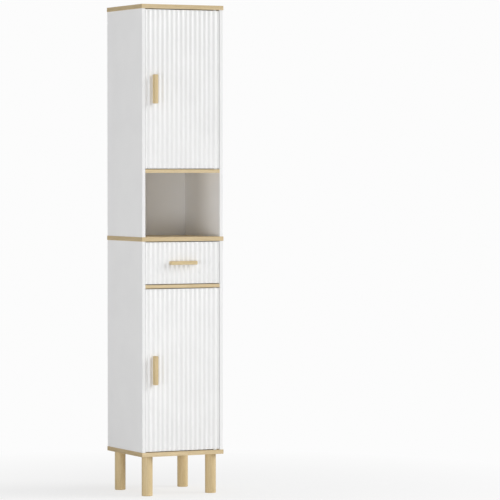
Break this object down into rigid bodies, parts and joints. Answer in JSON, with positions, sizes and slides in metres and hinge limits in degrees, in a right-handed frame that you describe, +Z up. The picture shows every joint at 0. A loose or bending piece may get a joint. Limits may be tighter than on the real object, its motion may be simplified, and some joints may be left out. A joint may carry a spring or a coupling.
{
  "type": "tall cabinet",
  "caption": "Slim free-standing tall bathroom cabinet: white panels between oak boards, fluted doors and drawer front, open niche, oak bar handles and round legs.",
  "frame": {"origin": "on the floor, at the middle of the plan box that the boards and the handles fill", "axes": "+X to the cabinet's right as seen from the front, +Y to the wall, +Z up"},
  "size_m": [0.312, 0.314, 1.7],
  "materials": {
    "oak_board": "light oak decor on board, satin",
    "solid_oak": "light oak, clear satin lacquer",
    "white_front": "fluted fibreboard, white satin paint",
    "white_board": "white melamine board, satin",
    "white_hardboard": "thin white-faced hardboard",
    "beech": "raw beech",
    "steel": "zinc-plated steel",
    "zinc": "dark zinc die casting",
    "dark_steel": "dark passivated steel",
    "magnet": "dull nickel plating",
    "white_plastic": "white moulded plastic"
  },
  "bodies": {
    "carcass": {"bottom_board": "oak_board", "cam_bolts": "steel", "cam_locks": "zinc", "catch_screws": "dark_steel", "dowels": "beech", "drawer_divider": "oak_board", "drawer_left_runner": "white_plastic", "drawer_right_runner": "white_plastic", "drawer_runner_screws": "dark_steel", "end_screws": "dark_steel", "leg_back_left": "solid_oak", "leg_back_right": "solid_oak", "leg_bolts": "steel", "leg_front_left": "solid_oak", "leg_front_right": "solid_oak", "leg_inserts": "steel", "lower_back_panel": "white_hardboard", "lower_door_catch_body": "white_plastic", "lower_door_catch_magnet": "magnet", "lower_door_catch_pole_plates": "steel", "lower_left_side": "white_board", "lower_right_side": "white_board", "lower_shelf": "white_board", "lower_shelf_pins": "steel", "middle_board": "oak_board", "niche_shelf": "oak_board", "pivot_bushes": "white_plastic", "top_board": "oak_board", "upper_back_panel": "white_hardboard", "upper_door_catch_body": "white_plastic", "upper_door_catch_magnet": "magnet", "upper_door_catch_pole_plates": "steel", "upper_left_side": "white_board", "upper_right_side": "white_board", "upper_shelf": "white_board", "upper_shelf_pins": "steel"},
    "upper_door": {"upper_door_bottom_pin": "steel", "upper_door_handle": "solid_oak", "upper_door_handle_screws": "dark_steel", "upper_door_panel": "white_front", "upper_door_strike_plate": "steel", "upper_door_strike_screws": "dark_steel", "upper_door_top_pin": "steel"},
    "lower_door": {"lower_door_bottom_pin": "steel", "lower_door_handle": "solid_oak", "lower_door_handle_screws": "dark_steel", "lower_door_panel": "white_front", "lower_door_strike_plate": "steel", "lower_door_strike_screws": "dark_steel", "lower_door_top_pin": "steel"},
    "drawer": {"drawer_back": "white_board", "drawer_bottom": "white_hardboard", "drawer_box_screws": "dark_steel", "drawer_front": "white_front", "drawer_front_screws": "dark_steel", "drawer_handle": "solid_oak", "drawer_handle_screws": "dark_steel", "drawer_inner_front": "white_board", "drawer_left_side": "white_board", "drawer_right_side": "white_board"}
  },
  "joints": [
    {"name": "upper_door_hinge", "type": "hinge", "parent": "carcass", "child": "upper_door", "pos_m": [0.126, -0.1345, 1.408], "axis": [0, 0, 1], "range_deg": [0, 110]},
    {"name": "lower_door_hinge", "type": "hinge", "parent": "carcass", "child": "lower_door", "pos_m": [0.126, -0.1345, 0.43625], "axis": [0, 0, 1], "range_deg": [0, 110]},
    {"name": "drawer_slide", "type": "slide", "parent": "carcass", "child": "drawer", "axis": [0, -1, 0], "range_m": [0, 0.18]}
  ]
}
